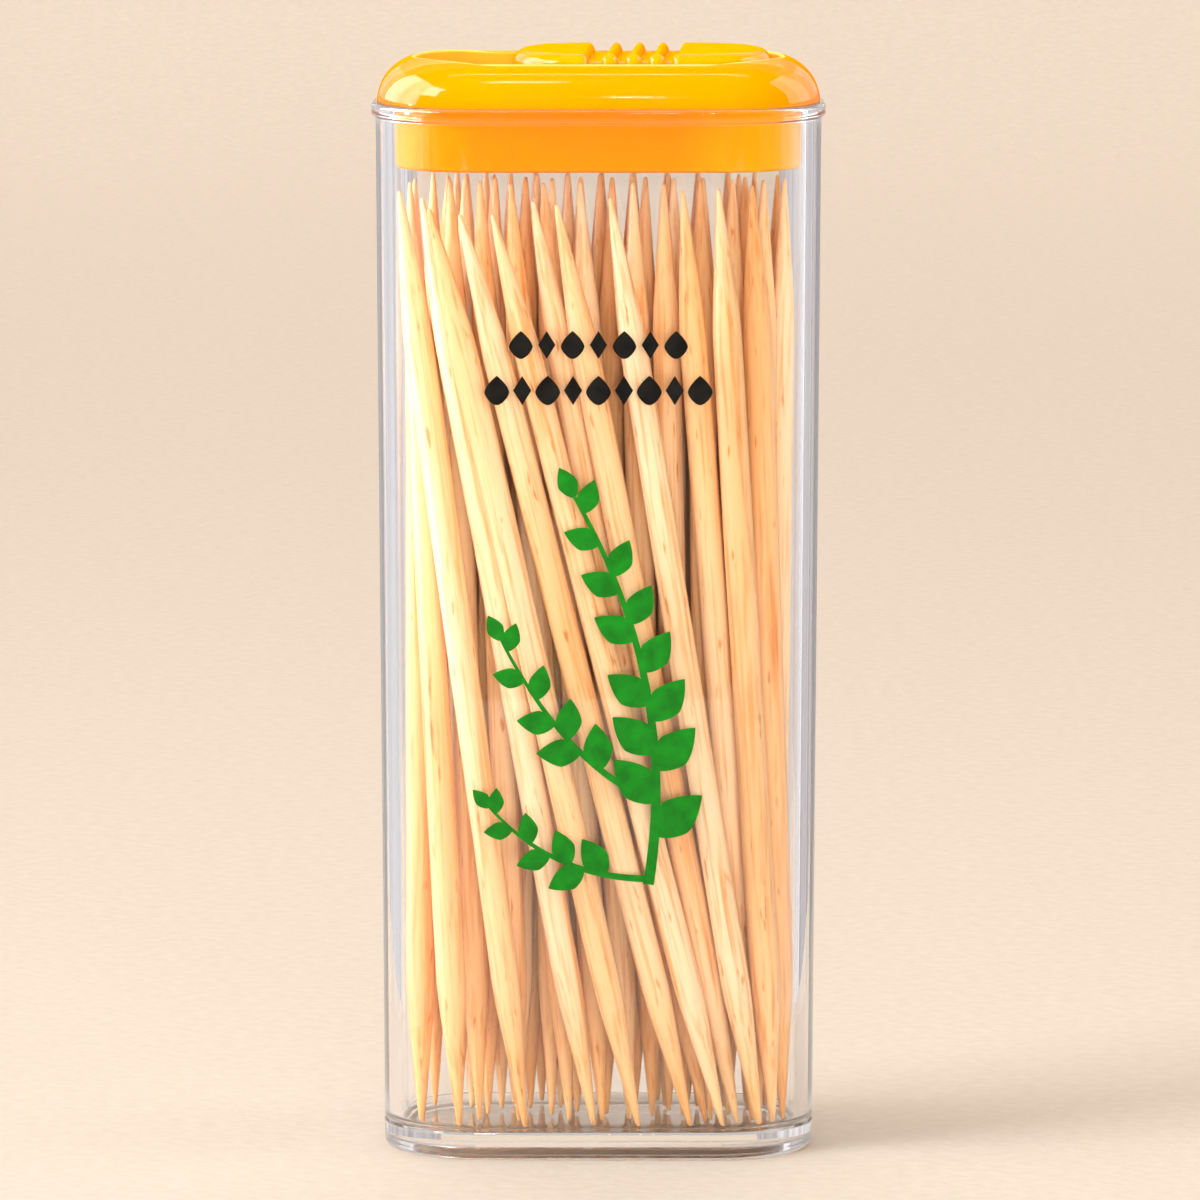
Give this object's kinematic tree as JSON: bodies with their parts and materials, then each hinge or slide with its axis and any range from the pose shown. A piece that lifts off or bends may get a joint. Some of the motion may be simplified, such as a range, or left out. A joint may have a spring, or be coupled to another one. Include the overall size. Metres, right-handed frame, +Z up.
{
  "type": "toothpick dispenser",
  "caption": "Flat clear pocket box of bamboo toothpicks with a push-in domed cap and a ribbed sliding gate over its dispensing hole.",
  "frame": {"origin": "middle of the footprint, on the surface that the box stands on", "axes": "+Z up, +X along the long side towards the end with the dispensing hole, +Y to the back"},
  "size_m": [0.031, 0.0168, 0.0757],
  "materials": {
    "clear_plastic": "polished clear polystyrene",
    "cap_plastic": "glossy moulded golden yellow plastic, slightly translucent",
    "gate_plastic": "glossy moulded golden yellow plastic",
    "bamboo": "pale tumbled bamboo with fine tan grain"
  },
  "bodies": {
    "container": {"container": "clear_plastic", "pick_01": "bamboo", "pick_02": "bamboo", "pick_03": "bamboo", "pick_04": "bamboo", "pick_05": "bamboo", "pick_06": "bamboo", "pick_07": "bamboo", "pick_08": "bamboo", "pick_09": "bamboo", "pick_10": "bamboo", "pick_11": "bamboo", "pick_12": "bamboo", "pick_13": "bamboo", "pick_14": "bamboo", "pick_15": "bamboo", "pick_16": "bamboo", "pick_17": "bamboo", "pick_18": "bamboo", "pick_19": "bamboo", "pick_20": "bamboo", "pick_21": "bamboo", "pick_22": "bamboo", "pick_23": "bamboo", "pick_24": "bamboo", "pick_25": "bamboo", "pick_26": "bamboo", "pick_27": "bamboo", "pick_28": "bamboo", "pick_29": "bamboo", "pick_30": "bamboo", "pick_31": "bamboo", "pick_32": "bamboo", "pick_33": "bamboo", "pick_34": "bamboo", "pick_35": "bamboo", "pick_36": "bamboo", "pick_37": "bamboo", "pick_38": "bamboo", "pick_39": "bamboo", "pick_40": "bamboo", "pick_41": "bamboo", "pick_42": "bamboo", "pick_43": "bamboo", "pick_44": "bamboo", "pick_45": "bamboo", "pick_46": "bamboo", "pick_47": "bamboo", "pick_48": "bamboo", "pick_49": "bamboo", "pick_50": "bamboo", "pick_51": "bamboo", "pick_52": "bamboo", "pick_53": "bamboo", "pick_54": "bamboo", "pick_55": "bamboo", "pick_56": "bamboo", "pick_57": "bamboo"},
    "cap": {"cap": "cap_plastic"},
    "gate": {"slide_gate": "gate_plastic"}
  },
  "joints": [
    {"name": "cap_lift", "type": "slide", "parent": "container", "child": "cap", "axis": [0, 0, 1], "range_m": [0, 0.012]},
    {"name": "gate_slide", "type": "slide", "parent": "cap", "child": "gate", "axis": [-1, 0, 0], "range_m": [0, 0.006]}
  ]
}
